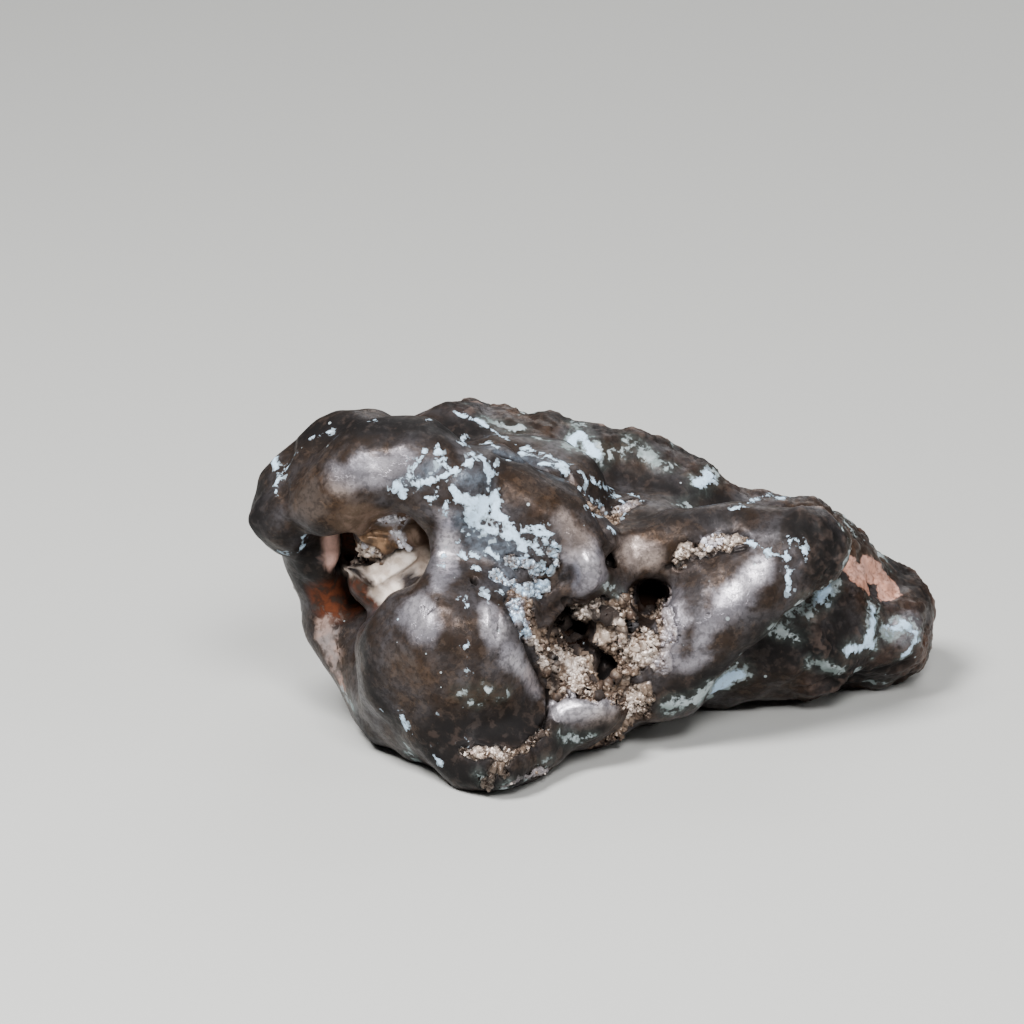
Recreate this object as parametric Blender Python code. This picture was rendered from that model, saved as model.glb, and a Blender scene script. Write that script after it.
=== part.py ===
"""Native copper nugget, modelled as one solid piece of metal.

The nugget is a mass of copper that set in thick folded rolls.  Each roll is a round tube that
swells and thins along its length, and each lump is an egg-shaped solid.  All of them overlap and
are fused into one skin.  The skin is then hollowed under the arm, pitted in the saddle,
roughened where the water did not wear it smooth, and rested on three worn feet.

Lengths are in millimetres and are turned into metres as the shapes are made.  +X runs to the
right of the nugget's show side, +Y to its back and +Z up.  The origin is the middle of the
footprint, on the surface that the nugget stands on.
"""

import math

import bmesh
import bpy
from mathutils import Euler, Matrix, Vector

MM = 0.001

# Driving sizes.
LENGTH = 66.1          # the whole nugget, along X
SKIN_CELL = 0.5        # mesh size of the fused skin
SOLID_FACES = 9500     # triangles of the finished solid
FOOT_DEPTH = 0.9       # how much is worn off the lowest lumps

# Rolls: stations along the middle of each, as x, y, z and the radius there.
ROLLS = {
    "arm": [
        (-14.0, -11.0, 26.0, 4.3),
        (-18.0, -10.0, 28.4, 4.6),
        (-22.0, -9.5, 27.6, 4.7),
        (-25.2, -9.0, 25.0, 4.2),
    ],
    "outer_fold": [
        (-22.0, -4.5, 27.4, 4.4),
        (-28.0, -4.0, 25.2, 4.0),
        (-29.6, -4.0, 21.5, 3.6),
    ],
    "neck": [
        (-14.0, -11.0, 26.0, 4.3),
        (-11.3, -11.5, 21.5, 4.3),
        (-12.0, -12.0, 16.0, 6.0),
    ],
    "brow": [
        (-10.5, -9.0, 26.2, 3.6),
        (-7.0, -10.0, 24.2, 4.3),
        (-3.5, -9.5, 20.6, 4.3),
        (-1.2, -8.5, 17.8, 3.6),
    ],
    "wing": [
        (5.4, -8.0, 6.2, 4.2),
        (7.4, -8.5, 10.0, 5.0),
        (11.6, -7.8, 14.2, 4.9),
        (16.0, -6.3, 17.3, 4.4),
        (19.2, -5.0, 18.9, 4.0),
    ],
    "finger": [
        (1.8, -6.5, 18.0, 3.0),
        (6.0, -6.0, 18.7, 3.0),
        (11.0, -4.8, 19.2, 3.0),
        (15.0, -4.2, 19.5, 3.4),
        (19.2, -5.0, 19.2, 3.9),
    ],
    "left_wall": [
        (-29.0, -3.0, 21.0, 4.0),
        (-24.6, 0.0, 14.5, 4.8),
        (-22.0, -1.5, 8.8, 5.5),
        (-19.5, -5.0, 5.4, 5.2),
    ],
    "chin_left": [
        (-18.5, -7.0, 5.5, 5.4),
        (-16.0, -13.5, 5.0, 5.0),
        (-13.2, -18.0, 4.0, 4.0),
        (-9.7, -22.4, 2.7, 2.8),
    ],
    "chin_right": [
        (-9.7, -22.4, 2.7, 2.8),
        (-7.0, -16.0, 4.0, 4.0),
        (1.0, -7.0, 5.0, 4.6),
        (11.0, 2.0, 5.0, 4.5),
        (21.0, 7.5, 5.5, 5.0),
    ],
    "back_ridge": [
        (-20.0, 4.0, 23.0, 5.0),
        (-12.0, 8.0, 23.6, 5.2),
        (-3.0, 7.5, 23.0, 4.8),
        (5.0, 6.5, 20.6, 4.6),
        (12.0, 6.0, 17.8, 4.5),
        (19.0, 6.0, 14.8, 5.0),
        (24.0, 8.0, 10.5, 5.0),
    ],
}

# Lumps: middle, half sizes and turn in degrees.
LUMPS = {
    "belly": ((-14.0, -13.0, 11.8), (9.4, 9.4, 9.6), (0, 0, 0)),
    "chin": ((-12.5, -14.0, 6.0), (7.6, 8.0, 5.6), (12, 0, -10)),
    "bridge": ((-9.0, -9.5, 20.0), (5.5, 5.5, 6.5), (0, 0, 0)),
    "pebble": ((-2.2, -14.8, 5.8), (3.4, 3.4, 2.9), (0, 0, 0)),
    "saddle": ((0.0, -5.5, 11.5), (8.5, 7.5, 8.5), (0, 0, 0)),
    "saddle_knob": ((-1.2, -12.0, 18.0), (2.4, 2.4, 2.6), (0, 0, 0)),
    "saddle_cheek": ((-5.5, -11.8, 17.3), (2.6, 2.3, 2.6), (0, 0, 0)),
    "finger_root": ((0.9, -11.0, 15.8), (2.3, 1.8, 1.9), (0, 0, 0)),
    "saddle_ledge": ((0.6, -11.6, 12.2), (2.6, 1.9, 1.3), (0, 25, 0)),
    "saddle_step": ((-3.2, -12.4, 9.6), (2.8, 1.8, 1.2), (0, 20, 0)),
    "core": ((-2.0, 2.0, 12.0), (18.0, 12.0, 10.0), (0, 0, 0)),
    "heart": ((-14.0, -2.5, 15.5), (7.0, 5.5, 7.0), (0, 0, 0)),
    "throat": ((-20.5, 0.3, 17.5), (5.2, 4.0, 8.5), (0, 0, 0)),
    "shoulder": ((-9.0, -1.5, 22.8), (9.5, 7.5, 5.2), (0, 0, 0)),
    "valley": ((2.0, 0.5, 18.0), (9.0, 6.5, 4.8), (0, 12, 0)),
    "flank": ((16.5, 2.0, 8.5), (10.0, 6.5, 7.0), (0, 0, 10)),
    "arm_knob": ((-30.0, -7.0, 22.3), (2.6, 2.6, 3.6), (0, 0, 0)),
    "back_hump": ((-13.0, 11.0, 18.2), (11.5, 9.0, 9.0), (0, 8, 15)),
    "rear_left": ((-18.5, 7.0, 11.5), (9.5, 10.0, 9.5), (0, 0, 0)),
    "rear_shelf": ((2.0, 13.0, 11.5), (15.0, 9.0, 8.5), (0, 10, -6)),
    "rear_knob": ((-6.0, 18.0, 10.0), (8.0, 6.0, 6.5), (0, 0, 0)),
    "rear_right": ((14.0, 13.5, 8.0), (9.0, 8.5, 7.0), (0, 0, 0)),
    "right_boulder": ((26.4, 9.2, 6.0), (6.7, 8.4, 5.9), (0, 0, 0)),
    "right_knuckle": ((23.6, 7.5, 14.2), (3.4, 3.6, 3.4), (0, 25, 0)),
    "rear_left_foot": ((-15.5, 11.0, 5.5), (8.0, 8.0, 6.0), (0, 0, 0)),
}

# Hollows cut out of the fused skin: tubes again, from the mouth inwards.
HOLLOWS = {
    "cave": [
        (-24.6, -18.0, 18.2, 3.4),
        (-23.4, -11.0, 17.8, 4.3),
        (-22.0, -4.0, 17.2, 3.8),
    ],
    "cave_roof": [
        (-19.4, -16.0, 21.2, 3.2),
        (-18.4, -8.0, 20.4, 3.4),
    ],
    "cave_floor": [
        (-27.0, -16.0, 14.6, 2.8),
        (-24.6, -8.0, 14.0, 3.0),
        (-22.5, -3.0, 14.0, 2.6),
    ],
    "left_pit": [(-3.6, -18.0, 14.8, 1.3), (-3.3, -7.0, 13.0, 1.2)],
    "left_pit_tail": [(-2.0, -18.0, 12.8, 1.3), (-2.4, -7.0, 11.4, 1.1)],
    "right_pit": [(4.2, -16.0, 17.4, 1.2), (4.2, -5.0, 14.6, 1.1)],
    "right_pit_toe": [(5.4, -16.0, 17.2, 1.3), (5.0, -5.0, 14.4, 1.2)],
    "right_pit_heel": [(4.5, -16.0, 15.4, 1.1), (4.5, -6.0, 13.2, 1.0)],
    "lower_pit": [(0.2, -18.0, 10.8, 1.5), (0.2, -8.4, 8.8, 1.1)],
    "brow_pit": [(0.6, -16.0, 21.2, 1.1), (0.4, -6.0, 18.0, 1.0)],
    "crevice": [
        (5.8, -10.8, 17.9, 1.2),
        (9.1, -10.6, 19.4, 1.3),
        (13.0, -10.0, 20.8, 1.0),
    ],
}

# Lumps left standing inside the hollow under the arm.
INNER_LUMPS = {
    "cave_lump": ((-19.4, -6.0, 20.8), (4.5, 3.8, 3.2), (0, 10, 0)),
    "cave_sill": ((-20.4, -6.0, 16.8), (3.6, 3.6, 2.8), (0, -35, 0)),
    "cave_lens": ((-26.2, -3.6, 18.8), (1.6, 2.6, 2.6), (0, 0, 0)),
}

# How the rough skin is thrown in and out: the pattern, the size of a lump, and the whole throw.
SWELLS = ("VORONOI", 7.5, 2.4)
KNOBS = ("CLOUDS", 3.2, 1.2)
GRIT = ("CLOUDS", 2.3, 3.4)

# Water-worn copper at the front: middle, reach, and how rough it still is.
WORN_SPOTS = [
    ((-14.0, -16.0, 12.0), 15.0, 0.05),
    ((-22.0, -10.0, 26.0), 12.0, 0.05),
    ((-6.0, -12.0, 22.0), 9.0, 0.10),
    ((12.0, -8.0, 15.0), 11.0, 0.12),
    ((20.0, -6.0, 19.0), 7.0, 0.10),
]

# Where the copper is eaten into grains: middle and reach.
EATEN_SPOTS = [
    ((-0.5, -13.0, 12.5), 7.5),
    ((4.0, -12.5, 13.0), 5.5),
    ((-4.0, -14.0, 16.5), 5.0),
    ((3.0, -12.0, 8.0), 5.0),
]


def clear_scene():
    for obj in list(bpy.data.objects):
        bpy.data.objects.remove(obj, do_unlink=True)


def smooth_stations(stations, per_span):
    """Points on a smooth curve through the stations, with the radius eased along it."""
    ends = [stations[0]] + list(stations) + [stations[-1]]
    points = []
    for i in range(1, len(ends) - 2):
        before, start, end, after = (Vector(ends[i + k]) for k in (-1, 0, 1, 2))
        for step in range(per_span):
            t = step / per_span
            points.append(
                0.5 * (
                    2 * start
                    + (end - before) * t
                    + (2 * before - 5 * start + 4 * end - after) * t ** 2
                    + (3 * start - before - 3 * end + after) * t ** 3
                )
            )
    points.append(Vector(stations[-1]))
    return points


def add_lump(name, middle, half_sizes, turn):
    """An egg-shaped lump."""
    bpy.ops.mesh.primitive_ico_sphere_add(subdivisions=4, radius=MM)
    lump = bpy.context.object
    lump.name = name
    stretch = Matrix.Diagonal((*half_sizes, 1))
    turned = Euler([math.radians(angle) for angle in turn]).to_matrix().to_4x4()
    lump.data.transform(Matrix.Translation(Vector(middle) * MM) @ turned @ stretch)
    return lump


def add_roll(name, stations):
    """A round tube through the stations, closed by a ball at each end."""
    points = smooth_stations(stations, per_span=8)
    curve = bpy.data.curves.new(name, "CURVE")
    curve.dimensions = "3D"
    curve.bevel_depth = MM
    curve.bevel_resolution = 6
    curve.use_fill_caps = True
    spline = curve.splines.new("POLY")
    spline.points.add(len(points) - 1)
    for point, station in zip(spline.points, points):
        x, y, z, radius = station
        point.co = (x * MM, y * MM, z * MM, 1)
        point.radius = radius
    tube = bpy.data.objects.new(name, curve)
    bpy.context.collection.objects.link(tube)
    balls = [
        add_lump(f"{name}_end", station[:3], [station[3]] * 3, (0, 0, 0))
        for station in (stations[0], stations[-1])
    ]
    return [tube, *balls]


def fuse(name, pieces):
    """Every piece's mesh gathered into one object, still overlapping."""
    bpy.context.view_layer.update()
    depsgraph = bpy.context.evaluated_depsgraph_get()
    gathered = bmesh.new()
    for piece in pieces:
        gathered.from_mesh(piece.evaluated_get(depsgraph).to_mesh())
        piece.evaluated_get(depsgraph).to_mesh_clear()
    mesh = bpy.data.meshes.new(name)
    gathered.to_mesh(mesh)
    gathered.free()
    for piece in pieces:
        bpy.data.objects.remove(piece, do_unlink=True)
    fused = bpy.data.objects.new(name, mesh)
    bpy.context.collection.objects.link(fused)
    return fused


def add_modifier(obj, kind, **settings):
    modifier = obj.modifiers.new(kind.title(), kind)
    for key, value in settings.items():
        setattr(modifier, key, value)
    return modifier


def apply_modifiers(obj):
    """Bakes the object's modifiers into its mesh."""
    bpy.context.view_layer.update()
    evaluated = obj.evaluated_get(bpy.context.evaluated_depsgraph_get())
    obj.data = bpy.data.meshes.new_from_object(evaluated)
    obj.modifiers.clear()


def resurface(obj, rounds):
    """One closed skin of even faces around everything in the object."""
    add_modifier(obj, "REMESH", mode="VOXEL", voxel_size=SKIN_CELL * MM)
    add_modifier(obj, "SMOOTH", factor=0.5, iterations=rounds)
    apply_modifiers(obj)


def cut(obj, cutter):
    """Takes the cutter's volume out of the object, and the cutter out of the scene."""
    add_modifier(obj, "BOOLEAN", operation="DIFFERENCE", object=cutter)
    apply_modifiers(obj)
    bpy.data.objects.remove(cutter, do_unlink=True)


def eased(share):
    share = min(1.0, max(0.0, share))
    return share * share * (3 - 2 * share)


def roughness_at(point):
    """1 where the skin is as rough as it gets, less on the worn rolls."""
    share = 1.0
    for middle, reach, floor in WORN_SPOTS:
        away = eased(math.dist(point, middle) / reach)
        share = min(share, floor + (1 - floor) * away)
    return share


def eaten_at(point):
    """1 in the middle of the eaten patches, falling to 0 at their edge."""
    return max(eased(2 - 2 * math.dist(point, middle) / reach) for middle, reach in EATEN_SPOTS)


def weigh(obj, name, rule):
    """A vertex group whose weights follow a rule of place."""
    group = obj.vertex_groups.new(name=name)
    for vertex in obj.data.vertices:
        group.add([vertex.index], rule(vertex.co / MM), "REPLACE")


def throw(obj, group, pattern):
    """Pushes the skin in and out by a pattern, as far as the group's weights let it."""
    kind, size, reach = pattern
    texture = bpy.data.textures.new(f"{group} {kind.lower()}", kind)
    texture.noise_scale = size * MM
    add_modifier(
        obj,
        "DISPLACE",
        texture=texture,
        texture_coords="LOCAL",
        strength=reach * MM,
        mid_level=0.5,
        vertex_group=group,
    )


def roughen(nugget):
    weigh(nugget, "rough", roughness_at)
    weigh(nugget, "eaten", eaten_at)
    throw(nugget, "rough", SWELLS)
    throw(nugget, "rough", KNOBS)
    throw(nugget, "eaten", GRIT)
    apply_modifiers(nugget)
    resurface(nugget, rounds=1)


def thin_out(nugget):
    """Fewer, larger faces where the skin is plain."""
    faces = len(nugget.data.polygons) * 2
    add_modifier(nugget, "DECIMATE", ratio=SOLID_FACES / faces)
    apply_modifiers(nugget)


def low_and_high(obj):
    corners = [vertex.co for vertex in obj.data.vertices]
    low = Vector([min(corner[axis] for corner in corners) for axis in range(3)])
    high = Vector([max(corner[axis] for corner in corners) for axis in range(3)])
    return low, high


def wear_feet(nugget):
    """Grinds the lowest lumps flat, so that the nugget rests on them."""
    low, high = low_and_high(nugget)
    side = 2 * (high.x - low.x)
    ground = low.z + FOOT_DEPTH * MM
    bpy.ops.mesh.primitive_cube_add(size=side, location=(0, 0, ground - side / 2))
    cut(nugget, bpy.context.object)


def settle(nugget):
    """Sets the length, and puts the middle of the footprint at the origin."""
    low, high = low_and_high(nugget)
    foot = Vector(((low.x + high.x) / 2, (low.y + high.y) / 2, low.z))
    size = LENGTH * MM / (high.x - low.x)
    nugget.data.transform(Matrix.Scale(size, 4) @ Matrix.Translation(-foot))


def copper():
    """Copper under a brown-grey patina, worn to a satin."""
    material = bpy.data.materials.new("patinated copper")
    material.use_nodes = True
    shader = material.node_tree.nodes["Principled BSDF"]
    shader.inputs["Base Color"].default_value = (0.17, 0.125, 0.11, 1)
    shader.inputs["Metallic"].default_value = 0.7
    shader.inputs["Roughness"].default_value = 0.42
    return material


def main():
    clear_scene()
    rolls = [piece for name, stations in ROLLS.items() for piece in add_roll(name, stations)]
    lumps = [add_lump(name, *facts) for name, facts in LUMPS.items()]
    nugget = fuse("nugget", rolls + lumps)
    resurface(nugget, rounds=4)

    tubes = [piece for name, stations in HOLLOWS.items() for piece in add_roll(name, stations)]
    hollows = fuse("hollows", tubes)
    resurface(hollows, rounds=1)
    cut(nugget, hollows)
    inner = [add_lump(name, *facts) for name, facts in INNER_LUMPS.items()]
    nugget = fuse("nugget", [nugget, *inner])
    resurface(nugget, rounds=2)

    roughen(nugget)
    thin_out(nugget)
    wear_feet(nugget)
    settle(nugget)
    nugget.data.shade_smooth()
    nugget.data.set_sharp_from_angle(angle=math.radians(50))
    nugget.data.materials.append(copper())


main()
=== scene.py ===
"""How the native copper nugget looks: worn rolls, an eaten saddle, pale crust and crystals.

The solid of the frame is one smooth-faced lump.  Here a copy of it gets a finer skin, on which
the zones of a real nugget are worked: rolls with a soft metal shine under a dark patina, a saddle
eaten into grains, rough hidden sides, a blue-white mineral crust that creeps along the creases,
and bare copper where the patina has gone.  Light and shade are painted into the colour too:
highlights on the rolls and in the cave, and near-black shade in the hollows, holes and creases
and on the sides turned from the light.

Pieces are worked in millimetres and brought to metres when they are done.  Places on the show
side are given as the camera sees them, in the squares of a view 1024 squares wide and high, and
a line of sight carries them onto the skin.
"""

import functools
import math
import bpy
import numpy as np
from mathutils import Euler, Matrix, Vector, noise
from mathutils.bvhtree import BVHTree
from mathutils.kdtree import KDTree


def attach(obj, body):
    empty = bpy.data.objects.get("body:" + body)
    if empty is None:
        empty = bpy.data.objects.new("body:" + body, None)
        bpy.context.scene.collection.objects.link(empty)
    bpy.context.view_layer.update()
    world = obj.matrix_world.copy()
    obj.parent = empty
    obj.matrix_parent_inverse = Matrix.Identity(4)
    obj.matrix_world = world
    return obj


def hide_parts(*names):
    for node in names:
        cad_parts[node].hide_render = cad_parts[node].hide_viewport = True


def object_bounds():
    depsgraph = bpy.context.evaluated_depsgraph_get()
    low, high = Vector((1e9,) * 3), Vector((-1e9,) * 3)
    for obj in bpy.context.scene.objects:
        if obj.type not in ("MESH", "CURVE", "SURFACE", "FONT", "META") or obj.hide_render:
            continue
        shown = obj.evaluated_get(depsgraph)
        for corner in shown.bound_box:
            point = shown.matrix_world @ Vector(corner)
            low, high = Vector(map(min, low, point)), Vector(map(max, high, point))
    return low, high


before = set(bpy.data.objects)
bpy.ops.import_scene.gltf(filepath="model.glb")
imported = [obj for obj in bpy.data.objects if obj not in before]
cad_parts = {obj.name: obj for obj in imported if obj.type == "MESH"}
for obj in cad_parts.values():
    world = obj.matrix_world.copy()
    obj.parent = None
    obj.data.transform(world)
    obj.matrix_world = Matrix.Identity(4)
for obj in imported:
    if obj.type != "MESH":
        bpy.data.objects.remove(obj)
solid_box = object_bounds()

MM = 0.001

# The camera: its place in mm, how far it looks down, its focal length in squares of the view.
VIEW = 1024
CAMERA_PLACE = Vector((-8.174, -558.761, 200.848))
CAMERA_DIP = math.radians(17.9)
CAMERA_FOCUS = 6174
FILM = 36.0  # mm
SQUARE = 0.0925  # mm that one square of the view covers at the nugget

# The fine skin, in mm.
MERGE = 0.001
SKIN_CELL = 0.2
SKIN_EASING = 14  # rounds of smoothing
SKIN_FACES = 196000

# Strokes: how far apart their lines of sight are, in squares, and how far past their edge they
# are still felt, in mm.
SIGHT_STEP = 2.0
REACH = 2.5
CREASE_REACH = 1.5
GROOVE_LIP = 0.4  # of a groove's half width, in which the skin beside it begins to bend

# Where some parts of the nugget begin, in mm back, right, left and up: from where they count for
# nothing to where they count in full.
FAR_BACK = (2.0, 8.0)
FAR_RIGHT = (15.0, 21.0)
ARM_LEFT = (12.0, 16.0)
ARM_UP = (13.0, 17.0)

# Forms worked into the skin: (height in mm, width in mm, layers of finer forms on them).
HAMMERED = (0.4, 3.0, 1)
KNOBBLY = (1.1, 2.3, 2)
PITTED = (-0.45, 0.9, 2)
GRAINY = (0.16, 0.55, 1)
BITTEN = (1.0, 2.0, 1)
GRITTY = (0.12, 0.3, 1)
HOLE_DEPTH = 0.5
CRUST_HEIGHT = 0.06
HAZE_SHARE = 0.92  # of the skin that stays free of creeping haze

# The eaten saddle: its crumbs, large and small, and its shell, in mm.
CRUMB = 1.1
CRUMB_HEIGHT = 0.6
GRIT = 0.48
GRIT_HEIGHT = 0.36
CRUMB_SPACING = 0.55  # of a crumb's size, between the cells that a crumb's heart may lie in
CRUMBS_KEPT = 0.36  # of the hearts, so that crumbs differ in size
SADDLE_WALL = 0.5
SADDLE_BED = 0.6

# Loose pieces: the chance of one at a vertex, how far apart they are in mm, how deep they sink
# as a share of their size, and how much the largest outgrows the smallest, in mm.
GRAINS = {"chance": 0.015, "apart": 0.4, "sink": 0.45, "growth": 0.35}
WHITE_CRYSTALS = {"chance": 0.3, "apart": 0.26, "sink": 0.6, "growth": 0.7}
SMALLEST = 0.2
DICE_SEED = 7  # of the dice, and of the noise that bends the crumbs

WEIGHT_STEPS = 64  # in which a vertex group is filled

# The stage: its floor, and the point that the lights look at, in metres.
FLOOR_SIZE = 4
LIT_POINT = Vector((0, 0, 0.015))

# ---------------------------------------------------------------- strokes on the show side
#
# Each stroke has a name, its half width and the route that it takes, in squares of the view.

# Blue-white crust on the rolls.
PALE_CRUST = {
    "body": (5.5, [(459, 496), (470, 502), (484, 503), (493, 497)]),
    "body_low": (5.5, [(468, 512), (476, 518), (486, 508)]),
    "body_corner": (2.6, [(452, 489), (458, 493)]),
    "body_right": (3.2, [(493, 492), (496, 504), (494, 514)]),
    "body_foot": (3.4, [(470, 521), (482, 528), (496, 533), (508, 537)]),
    "slant": (4.6, [(503, 520), (511, 529), (518, 540), (524, 549)]),
    "slant_head": (2.6, [(500, 515), (504, 518)]),
    "stem": (2.3, [(482, 456), (486, 466), (490, 478), (489, 492)]),
    "stem_side": (1.6, [(493, 470), (491, 482)]),
    "knot": (2.6, [(471, 452), (477, 460), (482, 456)]),
    "branch": (2.4, [(393, 489), (405, 485), (420, 483), (432, 480), (446, 475), (460, 467), (471, 460)]),
    "branch_body": (2.6, [(428, 482), (440, 479)]),
    "fork": (1.2, [(408, 480), (414, 469), (421, 458), (424, 451)]),
    "fork_side": (1.2, [(412, 459), (421, 458)]),
    "root": (2.0, [(392, 490), (399, 487), (407, 490)]),
    "root_low": (1.3, [(401, 490), (404, 498)]),
    "root_tip": (0.9, [(394, 483), (399, 487)]),
    "bar": (1.8, [(438, 445), (438, 455)]),
    "dots": (1.7, [(441, 461), (445, 465), (449, 468)]),
    "top_blob": (3.6, [(462, 439), (462, 445)]),
    "cross": (1.3, [(484, 470), (497, 466)]),
    "spot_right": (2.2, [(446, 504), (447, 513)]),
    "spots_left": (1.5, [(425, 497), (432, 499), (438, 497)]),
    "squiggle": (1.5, [(460, 541), (463, 531), (472, 534)]),
    "dash": (1.7, [(472, 555), (482, 559)]),
    "neck_specks": (1.1, [(442, 547), (445, 556), (444, 566)]),
    "crest_1": (1.8, [(486, 442), (500, 447)]),
    "crest_2": (1.8, [(498, 455), (516, 460)]),
    "crest_3": (1.6, [(521, 453), (539, 459)]),
    "crest_4": (2.0, [(539, 464), (552, 464), (566, 465)]),
    "crest_line": (0.9, [(457, 413), (482, 423), (507, 441), (539, 453), (568, 464)]),
    "streak": (1.7, [(526, 531), (538, 534), (553, 534)]),
    "streak_2": (1.4, [(534, 526), (546, 528)]),
    "arm_y": (1.3, [(278, 450), (274, 462), (278, 473), (276, 492)]),
    "arm_y_fork": (1.1, [(292, 456), (285, 467), (281, 477)]),
    "arm_top": (0.3, [(300, 446), (309, 438), (320, 435), (332, 431)]),
    "arm_foot": (1.2, [(275, 550), (284, 553), (292, 552)]),
    "arm_drop": (2.2, [(302, 538), (303, 546)]),
    "arm_specks": (1.6, [(374, 419), (375, 419)]),
    "arm_specks_2": (1.6, [(427, 420), (429, 420)]),
    "wing_vein": (1.2, [(722, 541), (745, 541), (758, 544), (770, 554), (782, 556)]),
    "wing_fall": (2.4, [(786, 553), (788, 568), (789, 590)]),
    "wing_fleck": (1.2, [(797, 538), (803, 548), (806, 560)]),
    "wing_fleck_2": (1.0, [(789, 538), (790, 548)]),
    "rear_line": (1.1, [(732, 510), (750, 502), (769, 493), (782, 499), (794, 495)]),
    "left_drop": (2.5, [(402, 717), (407, 730)]),
    "left_corner": (2, [(435, 757), (440, 762)]),
    "bar_heart": (5, [(873, 610), (871, 624), (868, 640)]),
    "bar_foot": (3.5, [(848, 650), (862, 648), (872, 646)]),
    "fist_heart": (3.5, [(890, 628), (904, 625), (914, 632)]),
    "fist_tail": (3, [(914, 640), (904, 654)]),
    "shoulder_heart": (5, [(822, 600), (826, 590)]),
    "back_heart": (5, [(573, 444), (580, 434), (590, 448), (598, 456)]),
    "rear_heart": (6, [(699, 484), (710, 476)]),
    "valley_1": (1.3, [(562, 470), (570, 474)]),
    "valley_2": (1.1, [(574, 470), (582, 476)]),
    "valley_3": (1.5, [(570, 482), (580, 488)]),
    "valley_4": (1.2, [(586, 480), (596, 482)]),
    "valley_5": (1.4, [(584, 494), (592, 500)]),
    "valley_6": (1.2, [(600, 486), (612, 490)]),
    "valley_7": (1.6, [(594, 504), (604, 506)]),
    "valley_8": (1.2, [(608, 498), (618, 496)]),
    "valley_9": (1.5, [(620, 500), (630, 506)]),
    "valley_10": (1.3, [(600, 514), (610, 512)]),
    "valley_11": (1.5, [(614, 518), (624, 514)]),
    "valley_12": (1.1, [(632, 494), (642, 500)]),
    "valley_13": (1.3, [(608, 526), (614, 532)]),
    "valley_14": (1.1, [(588, 508), (594, 516)]),
    "facet_heart": (6, [(716, 688), (728, 680), (738, 674)]),
    "neck_1": (1.6, [(528, 526), (536, 530)]),
    "neck_2": (2.0, [(546, 540), (554, 548)]),
    "neck_3": (1.5, [(534, 544), (540, 552)]),
    "neck_4": (1.6, [(520, 560), (528, 556)]),
    "neck_5": (1.3, [(488, 550), (496, 558)]),
    "neck_6": (1.2, [(474, 566), (480, 570)]),
    "neck_7": (1.2, [(460, 552), (466, 558)]),
    "neck_8": (1.4, [(500, 592), (508, 596)]),
    "neck_9": (2.2, [(524, 592), (540, 596)]),
    "neck_10": (1.2, [(484, 592), (488, 598)]),
    "neck_11": (1.3, [(462, 600), (468, 606)]),
    "neck_12": (1.4, [(541, 566), (548, 572)]),
    "belly_dot_1": (0.3, [(465, 645), (467, 646)]),
    "belly_dot_2": (0.3, [(468, 670), (470, 671)]),
    "belly_dot_3": (0.3, [(431, 714), (433, 715)]),
    "belly_dot_4": (0.3, [(383, 713), (385, 714)]),
    "belly_dot_5": (0.3, [(424, 734), (426, 735)]),
    "belly_dot_6": (0.3, [(398, 620), (399, 621)]),
    "belly_dot_7": (0.3, [(393, 585), (394, 586)]),
    "belly_dot_8": (0.3, [(408, 712), (410, 713)]),
    "belly_dot_9": (0.3, [(462, 742), (464, 744)]),
}

# Pebbly pale crumbs beside the saddle.
PEBBLES = {
    "under_slant": (6, [(510, 562), (524, 564), (536, 570)]),
    "step": (7, [(518, 587), (532, 590), (546, 585)]),
    "ring": (4, [(552, 553), (556, 564), (552, 573)]),
    "left": (6, [(497, 574), (506, 580)]),
    "rim": (8, [(514, 604), (519, 620), (527, 634)]),
}

# Soft pale haze on the parts that lie further back.
PALE_HAZE = {
    "saddle_patch": (10, [(572, 447), (580, 436), (590, 448), (598, 455)]),
    "saddle_tip": (5.5, [(577, 420), (579, 432)]),
    "saddle_tail": (3, [(606, 452), (626, 452)]),
    "ridge_patch": (5, [(486, 420), (500, 423), (519, 429)]),
    "ridge_tail": (3, [(523, 434), (544, 440)]),
    "slope": (2.5, [(626, 438), (640, 446), (655, 456)]),
    "slope_2": (2.5, [(640, 452), (660, 464), (673, 468)]),
    "rear_left": (7, [(697, 482), (701, 485)]),
    "rear_right": (6.5, [(708, 477), (716, 473)]),
    "rear_low": (3, [(676, 503), (690, 506)]),
    "bar_1": (5, [(845, 516), (849, 530)]),
    "bar_2": (4, [(866, 530), (870, 543)]),
    "shoulder": (7, [(822, 600), (826, 588), (832, 582)]),
    "hollow": (6, [(790, 612), (800, 600), (806, 614)]),
    "pale_bar": (9, [(873, 608), (871, 626), (868, 642)]),
    "pale_foot": (5, [(848, 648), (862, 647), (873, 646)]),
    "fist": (8, [(888, 632), (900, 624), (914, 628)]),
    "fist_streak": (5, [(918, 632), (910, 645), (904, 655)]),
    "shade_1": (4, [(770, 628), (784, 632), (798, 636)]),
    "shade_2": (5, [(812, 663), (826, 666), (838, 670)]),
    "shade_3": (3, [(868, 682), (884, 681)]),
    "facet": (11, [(706, 690), (722, 683), (738, 674)]),
    "facet_foot": (7, [(670, 707), (690, 700), (706, 698)]),
    "left_streak": (4, [(404, 744), (412, 757), (420, 768)]),
    "left_low": (5, [(342, 690), (352, 705)]),
    "belly_band_1": (0.8, [(458, 692), (470, 690)]),
    "belly_band_2": (0.8, [(482, 688), (492, 692)]),
    "belly_band_3": (0.8, [(500, 697), (507, 692)]),
    "belly_band_4": (0.6, [(470, 701), (479, 703)]),
    "chin_fleck_1": (2.4, [(500, 790), (508, 784)]),
    "chin_fleck_2": (2.4, [(524, 782), (534, 776)]),
    "chin_fleck_3": (2.2, [(478, 776), (482, 782)]),
    "chin_fleck_4": (2.0, [(542, 764), (550, 762)]),
    "by_knob": (2, [(606, 584), (618, 592)]),
    "pebble_side": (3, [(560, 734), (576, 742), (592, 738)]),
}

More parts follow.
